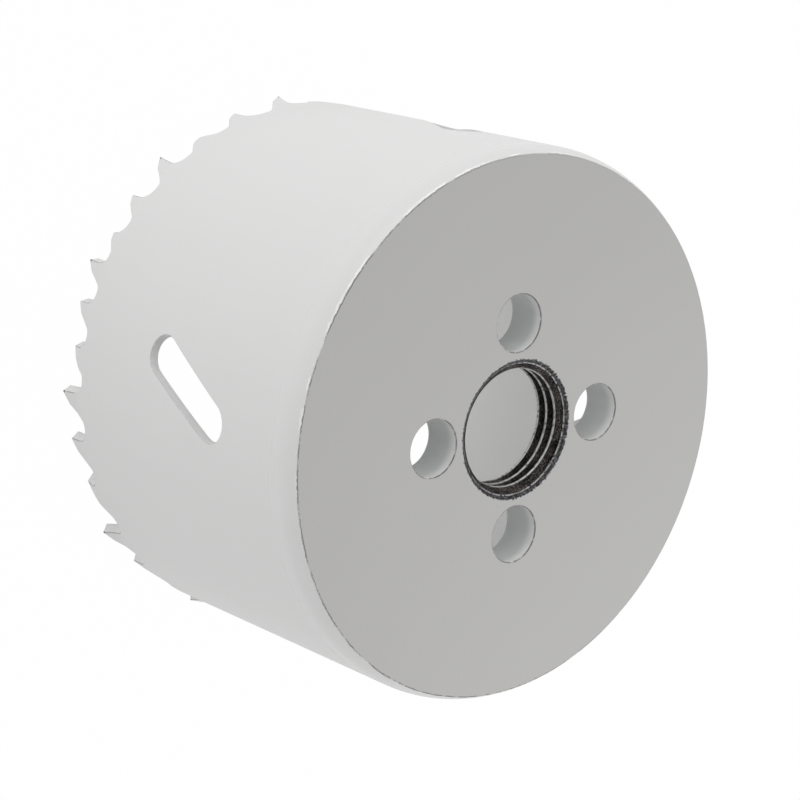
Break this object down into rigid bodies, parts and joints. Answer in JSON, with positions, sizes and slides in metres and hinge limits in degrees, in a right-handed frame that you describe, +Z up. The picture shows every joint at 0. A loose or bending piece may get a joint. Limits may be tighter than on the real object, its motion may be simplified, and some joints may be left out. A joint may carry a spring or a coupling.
{
  "type": "hole saw",
  "caption": "Cup-shaped hole saw with set teeth on its open edge, slanted slots in its wall and a threaded back plate with drive-pin holes.",
  "frame": {"origin": "on the saw's axis at the level of the tooth tips, which it stands on", "axes": "+Z up the axis, out of the back plate's outer face; +X through the middle of one slanted slot"},
  "size_m": [0.0674, 0.067, 0.0447],
  "materials": {
    "wall_enamel": "glossy white enamel over steel",
    "plate_enamel": "fine-grained matt light grey paint over steel"
  },
  "bodies": {
    "root": {"cup_wall": "wall_enamel", "back_plate": "plate_enamel"}
  },
  "joints": []
}
